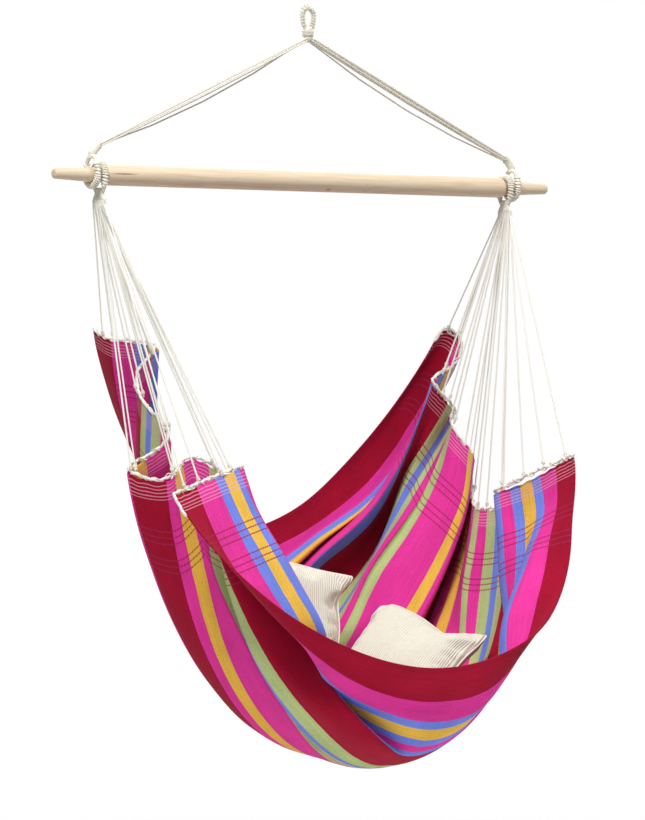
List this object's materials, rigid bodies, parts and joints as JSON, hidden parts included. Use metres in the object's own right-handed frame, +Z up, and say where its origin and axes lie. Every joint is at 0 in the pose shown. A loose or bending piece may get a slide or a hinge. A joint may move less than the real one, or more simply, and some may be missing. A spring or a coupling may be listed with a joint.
{
  "type": "hammock chair",
  "caption": "Hanging chair: a striped cloth seat slung on cords from a wooden spreader bar, which hangs on rope strands from a whipped eye, with loose pillows in the seat.",
  "frame": {"origin": "the inner top of the hanging eye, where the hook bears", "axes": "+Z up, +X along the spreader bar to the sitter's left as seen from the front, -Y to the front of the seat"},
  "size_m": [1.1, 0.6656, 1.3937],
  "materials": {
    "bar_wood": "smooth sanded",
    "cotton_rope": "matte twisted",
    "seat_weave": "matte woven stripes",
    "pillow_rib": "matte ribbed"
  },
  "bodies": {
    "eye": {"hanging_eye": "cotton_rope", "hanging_eye_whipping": "cotton_rope"},
    "throat": {"eye_throat_lashing": "cotton_rope"},
    "suspension": {"suspension_strand_left_1": "cotton_rope", "suspension_strand_left_2": "cotton_rope", "suspension_strand_left_3": "cotton_rope", "suspension_strand_left_4": "cotton_rope", "suspension_strand_left_5": "cotton_rope", "suspension_strand_left_6": "cotton_rope", "suspension_strand_left_7": "cotton_rope", "suspension_strand_left_8": "cotton_rope", "suspension_strand_right_1": "cotton_rope", "suspension_strand_right_2": "cotton_rope", "suspension_strand_right_3": "cotton_rope", "suspension_strand_right_4": "cotton_rope", "suspension_strand_right_5": "cotton_rope", "suspension_strand_right_6": "cotton_rope", "suspension_strand_right_7": "cotton_rope", "suspension_strand_right_8": "cotton_rope", "suspension_collar_left": "cotton_rope", "suspension_collar_right": "cotton_rope", "suspension_collar_left_whipping": "cotton_rope", "suspension_collar_right_whipping": "cotton_rope"},
    "bar": {"spreader_bar": "bar_wood"},
    "seat": {"seat_cloth": "seat_weave", "harness_collar_left": "cotton_rope", "harness_collar_right": "cotton_rope", "harness_collar_left_whipping": "cotton_rope", "harness_collar_right_whipping": "cotton_rope", "harness_cord_left_1": "cotton_rope", "harness_cord_left_2": "cotton_rope", "harness_cord_left_3": "cotton_rope", "harness_cord_left_4": "cotton_rope", "harness_cord_left_5": "cotton_rope", "harness_cord_left_6": "cotton_rope", "harness_cord_left_7": "cotton_rope", "harness_cord_left_8": "cotton_rope", "harness_cord_left_9": "cotton_rope", "harness_cord_left_10": "cotton_rope", "harness_cord_right_1": "cotton_rope", "harness_cord_right_2": "cotton_rope", "harness_cord_right_3": "cotton_rope", "harness_cord_right_4": "cotton_rope", "harness_cord_right_5": "cotton_rope", "harness_cord_right_6": "cotton_rope", "harness_cord_right_7": "cotton_rope", "harness_cord_right_8": "cotton_rope", "harness_cord_right_9": "cotton_rope", "harness_cord_right_10": "cotton_rope", "edge_rope_left": "cotton_rope", "edge_rope_right": "cotton_rope"},
    "pillow_left": {"pillow_left": "pillow_rib"},
    "pillow_right": {"pillow_right": "pillow_rib"}
  },
  "joints": [
    {"name": "eye_swivel", "type": "hinge", "parent": "eye", "child": "throat", "pos_m": [0, 0, -0.05], "axis": [0, 0, 1], "range_deg": [-180, 180]},
    {"name": "chair_swing", "type": "hinge", "parent": "throat", "child": "suspension", "pos_m": [0, 0, -0.05], "axis": [1, 0, 0], "range_deg": [-20, 20]},
    {"name": "bar_roll", "type": "hinge", "parent": "suspension", "child": "bar", "pos_m": [0, 0, -0.313], "axis": [1, 0, 0], "continuous": true},
    {"name": "seat_tilt", "type": "hinge", "parent": "suspension", "child": "seat", "pos_m": [0, 0, -0.313], "axis": [1, 0, 0], "range_deg": [-30, 30]},
    {"name": "pillow_left_lift", "type": "slide", "parent": "seat", "child": "pillow_left", "axis": [0, 0, 1], "range_m": [0, 0.45]},
    {"name": "pillow_right_lift", "type": "slide", "parent": "seat", "child": "pillow_right", "axis": [0, 0, 1], "range_m": [0, 0.45]}
  ]
}
